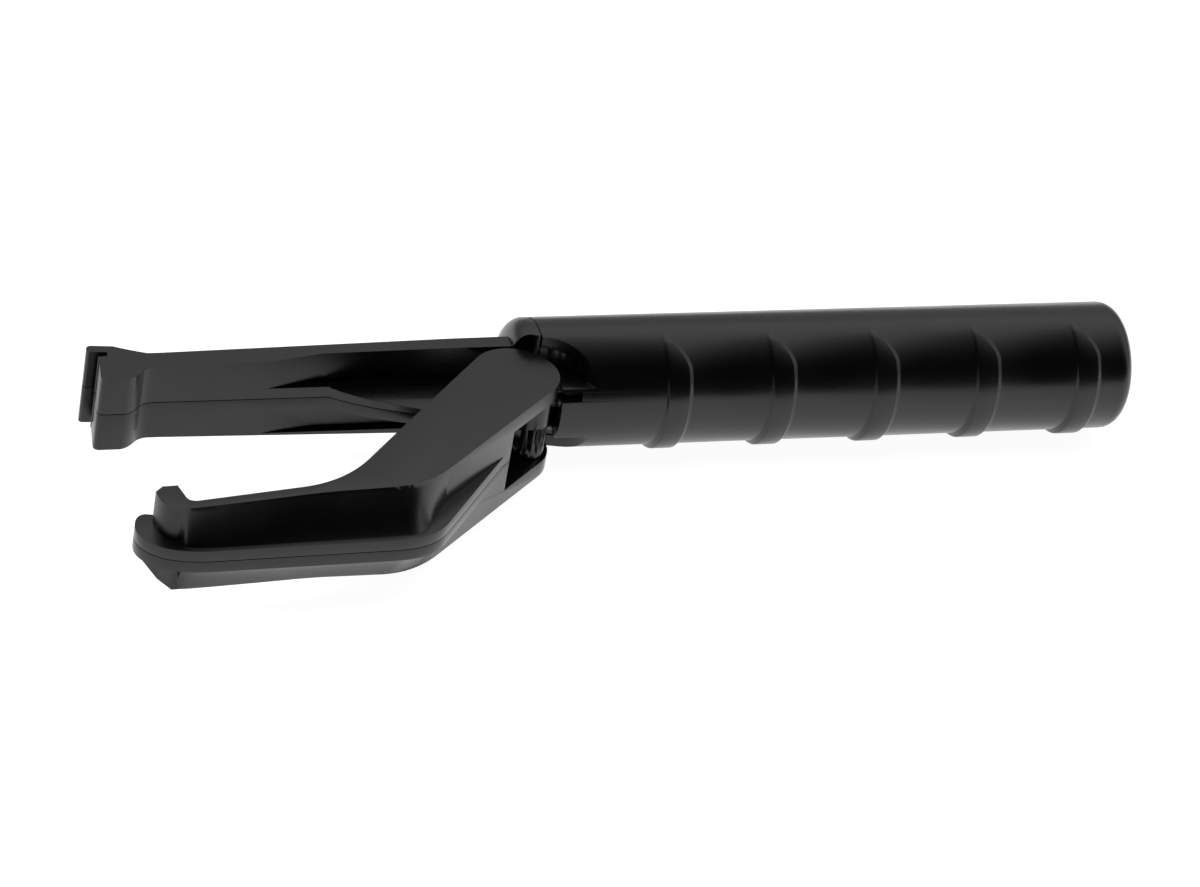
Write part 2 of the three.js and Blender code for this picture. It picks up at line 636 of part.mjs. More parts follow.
LEVER_SCREWS.forEach((s, i) => {
  holder.add(toMesh(`lever_screw_${i + 1}`, shellScrew(s, seats[i], headDepth), STEEL));
});
const nut = rodX(NUT_X[0], NUT_X[1], 4, rodLine, 0, 6).subtract(rodX(0, 100, ROD_R + GAP, rodLine, 0, 20));
holder.add(toMesh('rod_nut', nut, STEEL));

// Stand the holder on its own box: origin at the bottom centre.
const bounds = new THREE.Box3().setFromObject(holder, true);
holder.position.set(-(bounds.min.x + bounds.max.x) / 2, -(bounds.min.y + bounds.max.y) / 2, -bounds.min.z);

export default holder;
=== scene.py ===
import json
import math

import bmesh
import bpy
from mathutils import Matrix, Vector


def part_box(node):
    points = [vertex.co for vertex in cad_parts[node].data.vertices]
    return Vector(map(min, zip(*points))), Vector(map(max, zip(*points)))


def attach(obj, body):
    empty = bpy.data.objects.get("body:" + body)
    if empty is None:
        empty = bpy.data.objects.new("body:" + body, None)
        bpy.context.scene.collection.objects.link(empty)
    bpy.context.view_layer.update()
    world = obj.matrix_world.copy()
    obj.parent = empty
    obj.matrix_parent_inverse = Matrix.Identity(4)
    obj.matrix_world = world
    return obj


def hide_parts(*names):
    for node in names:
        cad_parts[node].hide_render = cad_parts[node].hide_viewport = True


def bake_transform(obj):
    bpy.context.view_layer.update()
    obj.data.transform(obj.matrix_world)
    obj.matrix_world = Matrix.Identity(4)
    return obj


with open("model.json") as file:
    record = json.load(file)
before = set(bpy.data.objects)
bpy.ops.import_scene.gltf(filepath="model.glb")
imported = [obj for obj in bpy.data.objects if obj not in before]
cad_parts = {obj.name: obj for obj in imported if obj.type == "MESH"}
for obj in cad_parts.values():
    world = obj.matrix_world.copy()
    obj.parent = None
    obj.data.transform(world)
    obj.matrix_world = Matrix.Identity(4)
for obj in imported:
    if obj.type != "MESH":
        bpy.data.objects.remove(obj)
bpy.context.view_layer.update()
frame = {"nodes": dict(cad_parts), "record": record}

MM = 0.001
SEAM = 0.1  # half of the dark parting line between two half-shells
FAR = 20  # reach of a cutter that goes right through
CLOSE_DEG = 25.2  # lever travel from open to shut
OUTER_DEG = 42  # direction of the lever's outer diagonal edge, off -X
INNER_DEG = 47.3  # and of its inner one
SCREW_HEAD_HOLE_R, SCREW_SHANK_HOLE_R, SCREW_SEAT = 2.5, 1.5, 1.6

# ---- where things are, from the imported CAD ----
pin_lo, pin_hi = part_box("pivot_pin")
tube_lo, tube_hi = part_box("handle_tube")
PIVOT = (3.4, -16.6)
pivot_row = (pin_lo + pin_hi) / 2
ORIGIN = pivot_row - Vector((PIVOT[0], PIVOT[1], 0)) * MM


def local(v):
    """A point of the row frame, in metres, as millimetres in the grip's frame."""
    return (Vector(v) - ORIGIN) / MM


GRIP_R = local(tube_hi).z
GRIP_FRONT_X = local(tube_lo).x
GRIP_END_X = local(tube_hi).x


# ---- outlines ----
def arc(cx, cy, r, a0, a1, steps):
    """Points on an arc, angles in degrees."""
    out = []
    for i in range(steps + 1):
        a = math.radians(a0 + (a1 - a0) * i / steps)
        out.append((cx + r * math.cos(a), cy + r * math.sin(a)))
    return out


def quad(p0, p1, p2, steps=10):
    """Points of a quadratic curve, without its first one."""
    out = []
    for i in range(1, steps + 1):
        t = i / steps
        a, b, c = (1 - t) ** 2, 2 * t * (1 - t), t * t
        out.append((a * p0[0] + b * p1[0] + c * p2[0], a * p0[1] + b * p1[1] + c * p2[1]))
    return out


# ---- meshes ----
def new_object(name, bm):
    bmesh.ops.recalc_face_normals(bm, faces=bm.faces)
    mesh = bpy.data.meshes.new(name)
    bm.to_mesh(mesh)
    bm.free()
    obj = bpy.data.objects.new(name, mesh)
    bpy.context.scene.collection.objects.link(obj)
    return obj


def prism(outline, z0, z1, name="prism"):
    bm = bmesh.new()
    low = [bm.verts.new((x, y, z0)) for x, y in outline]
    high = [bm.verts.new((x, y, z1)) for x, y in outline]
    bm.faces.new(low)
    bm.faces.new(high)
    for i in range(len(low)):
        j = (i + 1) % len(low)
        bm.faces.new((low[i], low[j], high[j], high[i]))
    return new_object(name, bm)


def slab(points, y0=-120, y1=60):
    """A side outline of (x, z) points, extruded across the holder."""
    obj = prism([(x, z) for x, z in points], 0, 1, "slab")
    for v in obj.data.vertices:
        x, z, t = v.co
        v.co = (x, y0 + (y1 - y0) * t, z)
    return fix_normals(obj)


def block(x0, x1, y0, y1, z0, z1):
    return prism([(x0, y0), (x1, y0), (x1, y1), (x0, y1)], z0, z1, "block")


def turned(profile, sides=96, name="turned"):
    """A solid turned about the X axis from (x, r) points, the first and last on the axis."""
    bm = bmesh.new()
    rings = []
    for x, r in profile:
        if r < 1e-6:
            rings.append([bm.verts.new((x, 0, 0))])
            continue
        ring = []
        for k in range(sides):
            a = 2 * math.pi * k / sides
            ring.append(bm.verts.new((x, r * math.cos(a), r * math.sin(a))))
        rings.append(ring)
    for a, b in zip(rings, rings[1:]):
        for k in range(sides):
            j = (k + 1) % sides
            if len(a) == 1:
                bm.faces.new((a[0], b[k], b[j]))
            elif len(b) == 1:
                bm.faces.new((a[k], b[0], a[j]))
            else:
                bm.faces.new((a[k], b[k], b[j], a[j]))
    return new_object(name, bm)


def skinned(name, bm, rings):
    """A closed body through equal rings of vertices."""
    for a, b in zip(rings, rings[1:]):
        for k in range(len(a)):
            j = (k + 1) % len(a)
            bm.faces.new((a[k], a[j], b[j], b[k]))
    bm.faces.new(rings[0])
    bm.faces.new(rings[-1])
    return new_object(name, bm)


def cylinder(axis, a0, a1, r, p, q, sides=48, r1=None):
    """A cylinder or cone along an axis from a0 to a1, at the two other coordinates p, q in X, Y, Z order."""
    obj = turned([(a0, 0), (a0, r), (a1, r if r1 is None else r1), (a1, 0)], sides, "cylinder")
    for v in obj.data.vertices:
        t, u, w = v.co
        v.co = {"X": (t, p + u, q + w), "Y": (p + u, t, q + w), "Z": (p + u, q + w, t)}[axis]
    return fix_normals(obj)


def fix_normals(obj):
    bm = bmesh.new()
    bm.from_mesh(obj.data)
    bmesh.ops.recalc_face_normals(bm, faces=bm.faces)
    bm.to_mesh(obj.data)
    bm.free()
    return obj


def settle(obj):
    """Applies the object's modifiers to its mesh."""
    dg = bpy.context.evaluated_depsgraph_get()
    mesh = bpy.data.meshes.new_from_object(obj.evaluated_get(dg))
    old = obj.data
    obj.modifiers.clear()
    obj.data = mesh
    bpy.data.meshes.remove(old)
    return obj


def combine(obj, other, operation):
    m = obj.modifiers.new("combine", "BOOLEAN")
    m.operation = operation
    m.solver = "EXACT"
    m.object = other
    settle(obj)
    bpy.data.objects.remove(other)
    return obj


def cut(obj, other):
    return combine(obj, other, "DIFFERENCE")


def join(obj, other):
    return combine(obj, other, "UNION")


def common(obj, other):
    return combine(obj, other, "INTERSECT")


def clean(obj, distance=0.02, angle=1.0):
    """Merges close points and flat neighbours that the cuts leave behind."""
    bm = bmesh.new()
    bm.from_mesh(obj.data)
    bmesh.ops.remove_doubles(bm, verts=bm.verts, dist=distance)
    bmesh.ops.dissolve_degenerate(bm, edges=bm.edges, dist=distance)
    bmesh.ops.dissolve_limit(bm, angle_limit=math.radians(angle), verts=bm.verts, edges=bm.edges)
    bmesh.ops.recalc_face_normals(bm, faces=bm.faces)
    bm.to_mesh(obj.data)
    bm.free()
    return obj


def soften(obj, width=0.55, segments=3, angle=32):
    """Rounds the sharp edges as a moulding has them."""
    clean(obj)
    m = obj.modifiers.new("soften", "BEVEL")
    m.width = width
    m.segments = segments
    m.limit_method = "ANGLE"
    m.angle_limit = math.radians(angle)
    m.miter_outer = "MITER_ARC"
    m.use_clamp_overlap = True
    m.loop_slide = True
    settle(obj)
    return obj


def mirrored(obj, name):
    copy = bpy.data.objects.new(name, obj.data.copy())
    bpy.context.scene.collection.objects.link(copy)
    copy.data.transform(Matrix.Scale(-1, 4, (0, 0, 1)))
    copy.data.flip_normals()
    return copy


def place(obj, name, body, material, replaces=(), smooth=32):
    obj.name = name
    obj.data.name = name
    obj.data.transform(Matrix.Translation(ORIGIN) @ Matrix.Scale(MM, 4))
    for face in obj.data.polygons:
        face.use_smooth = True
    if smooth:
        obj.data.set_sharp_from_angle(angle=math.radians(smooth))
    obj.data.materials.clear()
    obj.data.materials.append(material)
    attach(obj, body)
    if replaces:
        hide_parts(*replaces)
    return obj


# ---- materials ----
def link(tree, a, b):
    tree.links.new(a, b)


def moulding(name, colour, rough, grain=0.06, bump=0.02, wear=0.3):
    """Moulded plastic: faint cloudiness in colour and gloss, and a very fine grain."""
    m = bpy.data.materials.new(name)
    m.use_nodes = True
    t = m.node_tree
    shader = t.nodes["Principled BSDF"]
    where = t.nodes.new("ShaderNodeTexCoord")
    clouds = t.nodes.new("ShaderNodeTexNoise")
    clouds.inputs["Scale"].default_value = 55
    clouds.inputs["Detail"].default_value = 5
    link(t, where.outputs["Object"], clouds.inputs["Vector"])
    ramp = t.nodes.new("ShaderNodeMapRange")
    ramp.inputs["From Min"].default_value = 0.3
    ramp.inputs["From Max"].default_value = 0.7
    ramp.inputs["To Min"].default_value = rough - grain
    ramp.inputs["To Max"].default_value = rough + grain
    link(t, clouds.outputs["Fac"], ramp.inputs["Value"])
    link(t, ramp.outputs["Result"], shader.inputs["Roughness"])
    tint = t.nodes.new("ShaderNodeMix")
    tint.data_type = "RGBA"
    tint.inputs["A"].default_value = (*colour, 1)
    tint.inputs["B"].default_value = (*[c * (1 + wear) for c in colour], 1)
    link(t, clouds.outputs["Fac"], tint.inputs["Factor"])
    link(t, tint.outputs["Result"], shader.inputs["Base Color"])
    fine = t.nodes.new("ShaderNodeTexNoise")
    fine.inputs["Scale"].default_value = 2600
    fine.inputs["Detail"].default_value = 3
    link(t, where.outputs["Object"], fine.inputs["Vector"])
    relief = t.nodes.new("ShaderNodeBump")
    relief.inputs["Strength"].default_value = bump * 10
    relief.inputs["Distance"].default_value = 0.00008
    link(t, fine.outputs["Fac"], relief.inputs["Height"])
    link(t, relief.outputs["Normal"], shader.inputs["Normal"])
    shader.inputs["IOR"].default_value = 1.5
    return m


def metal(name, colour, rough, streak=(1, 1, 40)):
    """Plated or drawn metal: streaked gloss and slight tarnish."""
    m = bpy.data.materials.new(name)
    m.use_nodes = True
    t = m.node_tree
    shader = t.nodes["Principled BSDF"]
    shader.inputs["Metallic"].default_value = 1
    where = t.nodes.new("ShaderNodeTexCoord")
    stretch = t.nodes.new("ShaderNodeMapping")
    stretch.inputs["Scale"].default_value = streak
    link(t, where.outputs["Object"], stretch.inputs["Vector"])
    noise = t.nodes.new("ShaderNodeTexNoise")
    noise.inputs["Scale"].default_value = 160
    noise.inputs["Detail"].default_value = 6
    link(t, stretch.outputs["Vector"], noise.inputs["Vector"])
    ramp = t.nodes.new("ShaderNodeMapRange")
    ramp.inputs["To Min"].default_value = rough - 0.1
    ramp.inputs["To Max"].default_value = rough + 0.14
    link(t, noise.outputs["Fac"], ramp.inputs["Value"])
    link(t, ramp.outputs["Result"], shader.inputs["Roughness"])
    tint = t.nodes.new("ShaderNodeMix")
    tint.data_type = "RGBA"
    tint.inputs["A"].default_value = (*[c * 0.72 for c in colour], 1)
    tint.inputs["B"].default_value = (*colour, 1)
    link(t, noise.outputs["Fac"], tint.inputs["Factor"])
    link(t, tint.outputs["Result"], shader.inputs["Base Color"])
    return m


BLACK = moulding("black_plastic", (0.0022, 0.0023, 0.0025), 0.27, 0.04)
INNER = moulding("inner_plastic", (0.006, 0.006, 0.0062), 0.5)
RUBBER = moulding("rubber", (0.008, 0.008, 0.008), 0.72, 0.05, 0.05)
STEEL = metal("steel", (0.58, 0.59, 0.61), 0.34)
BRASS = metal("brass", (0.72, 0.54, 0.26), 0.34)
COPPER = metal("copper", (0.72, 0.38, 0.24), 0.36, (40, 1, 1))


# ---- lever ----
HEAD = (-1.1, -14.0, 10.56)
CHEEK_IN_Z, CHEEK_OUT_Z, LEVER_TIP_Z, FIN_Z = 8.4, 12.5, 11.2, 2.9
WALL = 3.2
WINDOW = 16.6  # length of the window along the outer edge
PIVOT_HOLE_R, PIVOT_HOLE_TOP = 2.5, 11.2
LINK_HOLE_R, LINK_HOLE_TOP = 1.7, 10.9
PLATE_POCKET = [(-31.5, -57.6), (-31.5, -60.6), (-42, -65.2), (-86, -66.2), (-95, -65), (-97.6, -61.2),
                (-92, -62.9), (-60, -60.2), (-43.5, -60)]
NOSE = [(-102.0, -57.5), (-100.6, -53.6), (-98.0, -53.2), (-93.4, -54.4), (-93.4, -62.4), (-98, -64.2),
        (-101.4, -61.6)]
NOSE_CUT = [(-110, -FIN_Z), (-101.6, -FIN_Z), (-93.9, -LEVER_TIP_Z), (-93.9, -20), (-110, -20)]
link_lo, link_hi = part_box("link_pin")
link_mid = local((link_lo + link_hi) / 2)
link_at = (link_mid.x, link_mid.y)


def lever_outline():
    """Cheek, cranked arm and hook as one closed outline."""
    cx, cy, r = HEAD
    out = arc(cx, cy, r, OUTER_DEG - 90, INNER_DEG + 90, 44)
    out.append((-46, -47.1))
    out += quad((-46, -47.1), (-53.8, -55.5), (-64, -56.8), 18)
    out += quad((-88.6, -59.8), (-91.2, -60.0), (-91.7, -58.4), 5)
    out += [(-92.7, -53.4), (-96.2, -53.5), (-98.2, -55.4)]
    out += quad((-98.2, -55.4), (-98.3, -62.0), (-94, -62.7), 8)
    out += [(-60, -59.3), (-44, -58.9)]
    out += quad((-44, -58.9), (-35.3, -58.9), (-28, -52.45), 12)
    return out


def fin_outline():
    """The thin fin below the lever's arm, seen along Z."""
    out = [(-6.6, -32.4), (-29.5, -61.1)]
    out += quad((-29.5, -61.1), (-34.0, -66.5), (-43, -66.7), 12)
    out.append((-85, -67.9))
    out += quad((-85, -67.9), (-94, -68.2), (-98.4, -65.4), 8)
    out += quad((-98.4, -65.4), (-103.2, -61.8), (-102.6, -57.2), 8)
    out += quad((-102.6, -57.2), (-101.9, -52.7), (-99.2, -52.4), 8)
    out += [(-97.4, -52.8), (-94.4, -57.5), (-92.2, -61.0), (-60, -58.0), (-44, -57.4), (-31, -52.6),
            (-9.2, -33.2)]
    return out


def outer_edge(t, inward):
    """A point t along the lever's outer diagonal edge from the head, and inward from it."""
    a = math.radians(OUTER_DEG)
    cx, cy, r = HEAD
    return (cx + r * math.sin(a) - t * math.cos(a) - inward * math.sin(a),
            cy - r * math.cos(a) - t * math.sin(a) + inward * math.cos(a))


# The concave fillet from the front wall's top edge down to the fin: a point of the wall, the inward
# direction in degrees, and the fillet's foot on the fin.
COVE = [(-93, -62.6, 90, -93.6, -63), (-90, -62.3, 90, -90.5, -66.6), (-75, -60.8, 90, -75, -66.6),
        (-60, -59.3, 90, -60, -66.1), (-44, -58.9, 90, -43.5, -65.5), (-39.7, -58.5, 98, -37.5, -64.9),
        (-35.6, -57.3, 108, -34.0, -61.6), (-31.7, -55.3, 120, -31.1, -57.2), (-28, -52.45, 132, -27.9, -52.8)]
COVE_TOP, COVE_FOOT = 13.5, FIN_Z - 0.3


def smooth_path(points, per_span):
    """Points of a Catmull-Rom curve through the given ones."""
    p = [Vector(q) for q in points]
    p = [2 * p[0] - p[1]] + p + [2 * p[-1] - p[-2]]
    out = []
    for i in range(1, len(p) - 2):
        a, b, c, d = p[i - 1:i + 3]
        for k in range(per_span):
            t = k / per_span
            straight = 2 * b + (c - a) * t
            curved = straight + (2 * a - 5 * b + 4 * c - d) * t ** 2
            out.append((curved + (3 * b - a - 3 * c + d) * t ** 3) / 2)
    return out + [p[-2]]


def cove():
    """The fillet's body, from inside the wall to the concave face."""
    def into(d):
        return [(x + d * math.cos(math.radians(a)), y + d * math.sin(math.radians(a)))
                for x, y, a, _, _ in COVE]

    steps, per_span = 14, 5
    bm = bmesh.new()
    rings = []
    feet = [(x, y) for _, _, _, x, y in COVE]
    for b, s, f in zip(*(smooth_path(line, per_span) for line in (into(1.5), into(0.5), feet))):
        ring = [bm.verts.new((b.x, b.y, 0.5)), bm.verts.new((b.x, b.y, COVE_TOP))]
        for k in range(steps + 1):
            u = k / steps
            p = s.lerp(f, u)
            z = COVE_FOOT + (COVE_TOP - COVE_FOOT) * (1 - u) * (1 - 0.5 * u)
            ring.append(bm.verts.new((p.x, p.y, z)))
        rings.append(ring)
    return skinned("cove", bm, rings)


def lever_half():
    """Upper half of the lever: two outlines, the space between the cheeks, and holes for the pins and plate."""
    shell = prism(lever_outline(), 0, CHEEK_OUT_Z)
    space = [outer_edge(WINDOW, -12), outer_edge(WINDOW, WALL), outer_edge(40, WALL), (-46, -42), (-30, 0),
             (20, 6), (22, -30)]
    shell = cut(shell, prism(space, -1, CHEEK_IN_Z))
    shell = join(shell, prism(fin_outline(), 0, FIN_Z))
    shell = join(shell, cove())
    side = slab([(-110, SEAM), (14, SEAM), (14, CHEEK_OUT_Z), (-38, CHEEK_OUT_Z), (-50, CHEEK_OUT_Z - 0.25),
                 (-95, LEVER_TIP_Z), (-110, LEVER_TIP_Z)])
    shell = common(shell, side)
    shell = cut(shell, prism(PLATE_POCKET, -1, 1.3))
    shell = cut(shell, cylinder("Z", -1, PIVOT_HOLE_TOP, PIVOT_HOLE_R, *PIVOT))
    return cut(shell, cylinder("Z", -1, LINK_HOLE_TOP, LINK_HOLE_R, *link_at, 24))


def screw_holes(upper, lower, c, seat, top):
    """Holes at c for a shell screw entered from below, its head ending at the seat."""
    lower = cut(lower, cylinder("Z", -FAR, seat, SCREW_HEAD_HOLE_R, c.x, c.y, 32))
    lower = cut(lower, cylinder("Z", -FAR, 1, SCREW_SHANK_HOLE_R, c.x, c.y, 20))
    upper = cut(upper, cylinder("Z", -1, top, SCREW_SHANK_HOLE_R, c.x, c.y, 20))
    return upper, lower


def build_lever():
    upper = lever_half()
    lower = mirrored(upper, "lever_lower")
    lower = join(lower, prism(NOSE, -LEVER_TIP_Z, -FIN_Z + 0.5))
    lower = cut(lower, slab(NOSE_CUT))
    for screw in ("lever_screw_1", "lever_screw_2"):
        lo, hi = (local(v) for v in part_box(screw))
        c = (lo + hi) / 2
        upper, lower = screw_holes(upper, lower, c, lo.z + SCREW_SEAT, hi.z + 0.3)
    pairs = ((upper, "lever_upper", "lever_upper_shell"), (lower, "lever_lower", "lever_lower_shell"))
    for obj, name, node in pairs:
        soften(obj, 0.6)
        place(obj, name, "lever", BLACK, [node])


# ---- fixed jaw ----
NOTCH = (6.8, -17.0, 13.3, 7.3)  # x, y, radius and floor of the pocket for a cheek
NOTCH_BELOW = 6.6  # the lower pocket's floor
RECESS_BELOW = 9.9  # the lower recess leaves a rim
ARM_NEAR_Y, ARM_FAR_Y, ARM_ROOT_Z, ARM_TIP_Z = -3.4, 2.8, 11.4, 10.0
BOSS_R, BOSS_Z = 4.4, 8.1
BUSH_HOLE_R = 3.5
GUSSET_SLOPE = math.tan(math.radians(8.1))  # the upper gusset thins towards its edge
RECESS = [(-59, ARM_NEAR_Y), (-46, -1.0), (9, -0.9), (9, -9), (-59, -9)]
COLLAR = [(0.6, 0), (0.6, 8.6), (1.6, ARM_ROOT_Z), (2.6, 13.4), (3.2, 14.3), (4.0, 15.1), (5.0, 15.7),
          (5.9, 16), (GRIP_FRONT_X - 0.25, 16), (GRIP_FRONT_X - 0.25, 12.9), (21.4, 12.9), (21.4, 0)]
ARM_SIDE = [(-110, SEAM), (25, SEAM), (25, 20), (0.6, 20), (0.6, ARM_ROOT_Z), (-13, ARM_ROOT_Z), (-42, 11.0),
            (-72, 10.3), (-84, ARM_TIP_Z), (-110, ARM_TIP_Z)]
CONTACT_POCKET = [(-89.6, -2.5), (-97.3, -2.5), (-97.3, 3.7), (-95, 3.7), (-89.6, 1.9)]
TIP_SLOT = [(-97.2, 2.1), (-99.4, 1.8), (-105, 1.8), (-105, 4.2), (-97.2, 3.7)]
POCKETS_TOP = 7.3  # height of the pockets for the contact and the bar


def arm_outline():
    """The fixed arm from the collar to its lipped tip."""
    out = [(3, ARM_NEAR_Y), (3, ARM_FAR_Y + 0.6), (-40, ARM_FAR_Y), (-87.5, ARM_FAR_Y)]
    out += quad((-87.5, ARM_FAR_Y), (-91.5, 4.2), (-95.2, 6.1), 8)
    out.append((-100.4, 6.6))
    out += quad((-100.4, 6.6), (-102.0, 6.4), (-101.8, 4.5), 6)
    out += [(-99.4, 1.6), (-100.7, -6.6)]
    out += quad((-100.7, -6.6), (-100.5, -7.9), (-99.2, -7.9), 5)
    out.append((-94.4, -7.9))
    out += quad((-94.4, -7.9), (-92.6, -7.6), (-90.6, -5.4), 6)
    out += quad((-90.6, -5.4), (-89.2, -3.6), (-87, ARM_NEAR_Y), 6)
    return out


def gusset_outline():
    """The web between the arm and the pivot boss."""
    px, py = PIVOT
    out = [(-46, ARM_NEAR_Y + 1.5), (-43, ARM_NEAR_Y - 0.4)]
    out += quad((-43, ARM_NEAR_Y - 0.4), (-34, -9.6), (-22, -12.2), 12)
    out += [(-8, -16.6), (px - 1.4, py - 4.1), (px, py), (px - 3, py + 4.4), (-2.6, -10.4),
            (-2.6, ARM_NEAR_Y + 1.5)]
    return out


def jaw_half(floor, recess_top, thinned):
    """Half of the fixed jaw as the upper one lies, with its pocket floor, recess top and kind of gusset."""
    shell = prism(arm_outline(), 0, ARM_ROOT_Z)
    shell = cut(shell, prism(RECESS, FIN_Z, recess_top))
    root = turned(COLLAR)
    root = cut(root, block(-10, 8.0, -FAR, -3.0, -FAR, FAR))
    root = cut(root, block(-10, 13, -FAR, -3.0, -5, 5))
    root = cut(root, cylinder("Z", floor - 0.3, FAR, NOTCH[2] + 0.3, *NOTCH[:2], 128))
    shell = join(shell, root)
    gusset = prism(gusset_outline(), -1, FIN_Z)
    if thinned:
        for v in gusset.data.vertices:
            if v.co.z > 0:
                v.co.z += (v.co.y + 2) * GUSSET_SLOPE
    shell = join(shell, gusset)
    shell = join(shell, cylinder("Z", -1, BOSS_Z, BOSS_R, *PIVOT, 64))
    shell = common(shell, slab(ARM_SIDE))
    cx, cy, r = HEAD
    for i in range(5):
        turn = -math.radians(CLOSE_DEG) * i / 4
        dx, dy = cx - PIVOT[0], cy - PIVOT[1]
        x = PIVOT[0] + dx * math.cos(turn) - dy * math.sin(turn)
        y = PIVOT[1] + dx * math.sin(turn) + dy * math.cos(turn)
        shell = cut(shell, cylinder("Z", BOSS_Z, FAR, r + 0.5, x, y, 96))
    shell = cut(shell, block(-90.4, 30, 0.0, 1.8, -1, POCKETS_TOP))
    shell = cut(shell, cylinder("Z", -1, 10, BUSH_HOLE_R, *PIVOT))
    rod_lo, rod_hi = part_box("draw_rod")
    shell = cut(shell, cylinder("X", -3, 30, 4.9, local((rod_lo + rod_hi) / 2).y, 0, 32))
    shell = cut(shell, prism(CONTACT_POCKET, -1, POCKETS_TOP))
    return cut(shell, prism(TIP_SLOT, -1, FAR))


def build_jaw():
    upper = jaw_half(NOTCH[3], FAR, True)
    half = jaw_half(NOTCH_BELOW, RECESS_BELOW, False)
    lower = mirrored(half, "jaw_lower")
    bpy.data.objects.remove(half)
    boss = cut(cylinder("Z", -BOSS_Z, 0.5, BOSS_R, *PIVOT, 64), cylinder("Z", -10, 2, BUSH_HOLE_R, *PIVOT))
    upper = join(upper, boss)
    lower = cut(lower, cylinder("Z", -FAR, 1, BOSS_R + 0.2, *PIVOT, 64))
    lo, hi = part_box("gusset_screw")
    c = local((lo + hi) / 2)
    upper, lower = screw_holes(upper, lower, c, -FIN_Z + SCREW_SEAT, 2.2)
    pairs = ((upper, "fixed_jaw_upper", "fixed_jaw_upper_shell"),
             (lower, "fixed_jaw_lower", "fixed_jaw_lower_shell"))
    for obj, name, node in pairs:
        soften(obj, 0.5)
        place(obj, name, "grip", BLACK, [node])


# ---- grip ----
BORE_R, CABLE_HOLE_R, END_ROUND = 13.2, 8.0, 4.0
RIB_FIRST_X, RIB_PITCH, RIB_COUNT, RIB_HEIGHT, RIB_FRONT = 42.5, 27.1, 5, 1.15, 4.5
NEAR_FADE, FAR_FADE = 64, 26  # where the ribs start to fade on the two sides, in degrees above level


def eased(t):
    """0 to 1 with level ends."""
    t = min(1.0, max(0.0, t))
    return t * t * (3 - 2 * t)


def rib_height(rise, fade):
    """A rib's height where the surface faces up by this many degrees: most below, none past the fade."""
    low = (1 - math.sin(math.radians(rise))) / 2
    return RIB_HEIGHT * (0.42 + 0.58 * low ** 0.8) * (1 - eased((rise - fade) / 18))


def rib_section(rise, fade):
    """A rib's section as (distance from its front edge, share of its height), narrower towards the top."""
    land = 0.8 + 4.7 * (1 - 0.85 * eased((rise - fade + 24) / 38))
    front = [(-0.1, 0), (0, 0), (0.15, 0.15), (0.35, 0.6), (0.55, 0.9), (0.8, 1)]
    middle = [(0.8 + (land - 0.8) * t, 1) for t in (0.25, 0.5, 0.75, 1)]
    rear = [(land + d, h) for d, h in ((0.15, 0.97), (0.4, 0.8), (0.75, 0.48), (1.05, 0.2), (1.25, 0.05),
                                       (1.45, 0), (1.7, 0))]
    return front + middle + rear


def build_grip():
    """The round sleeve skinned through its stations, then its bores, pockets and screw hole."""
    # Each station is (x, rib front edge or None, index in the rib's section).
    stations = [(x, None, 0) for x in (GRIP_FRONT_X, 12, 20, 30)]
    for k in range(RIB_COUNT):
        front = RIB_FIRST_X + k * RIB_PITCH - RIB_FRONT
        stations += [(front + d, front, i) for i, (d, _) in enumerate(rib_section(0, NEAR_FADE))]
        stations += [(front + d, None, 0) for d in (11, 16, 21) if front + d < GRIP_END_X - 4.5]
    end = GRIP_END_X - END_ROUND
    stations.append((end, None, 0))
    stations += [(GRIP_END_X - END_ROUND * (1 - math.sin(math.radians(a))), None, 0)
                 for a in (12, 24, 36, 48, 60, 72, 82, 90)]
    sides = 240
    bm = bmesh.new()
    rings = []
    for at, front, index in stations:
        into = max(0.0, (at - end) / END_ROUND)
        base = GRIP_R - END_ROUND * (1 - math.sqrt(max(0.0, 1 - into * into)))
        ring = []
        for k in range(sides):
            a = 2 * math.pi * k / sides
            x, r = at, base
            if front is not None:
                rise = math.degrees(math.asin(math.sin(a)))
                fade = FAR_FADE if math.cos(a) > 0 else NEAR_FADE
                d, share = rib_section(rise, fade)[index]
                x, r = front + d, base + share * rib_height(rise, fade)
            ring.append(bm.verts.new((x, r * math.cos(a), r * math.sin(a))))
        rings.append(ring)
    grip = skinned("grip", bm, rings)
    grip = cut(grip, cylinder("X", -5, GRIP_END_X - 5, BORE_R, 0, 0, 96))
    grip = cut(grip, cylinder("X", 100, GRIP_END_X + 5, CABLE_HOLE_R, 0, 0, 96))
    grip = cut(grip, cylinder("Z", NOTCH[3], FAR, NOTCH[2], *NOTCH[:2], 128))
    grip = cut(grip, cylinder("Z", -FAR, -NOTCH_BELOW, NOTCH[2], *NOTCH[:2], 128))
    grip = cut(grip, block(5, 16.4, -FAR, -8, 4.2, 6.5))  # slot in the tongue between the pockets
    grip = cut(grip, block(0, 11.4, -FAR, -3.2, -7.6, 7.6))  # the tongue starts further back
    grip = cut(grip, cylinder("Y", 0, FAR, 3.1, 114, 0, 32))  # hole for the grip's screw
    m = grip.modifiers.new("soften", "BEVEL")
    m.width = 0.35
    m.segments = 3
    m.limit_method = "ANGLE"
    m.angle_limit = math.radians(48)
    settle(clean(grip, 0.005, 0.05))
    place(grip, "grip_sleeve", "grip", BLACK, ["handle_tube"], 40)


# ---- spring ----
SPRING_WIRE_R, SPRING_TURNS = 0.6, 9


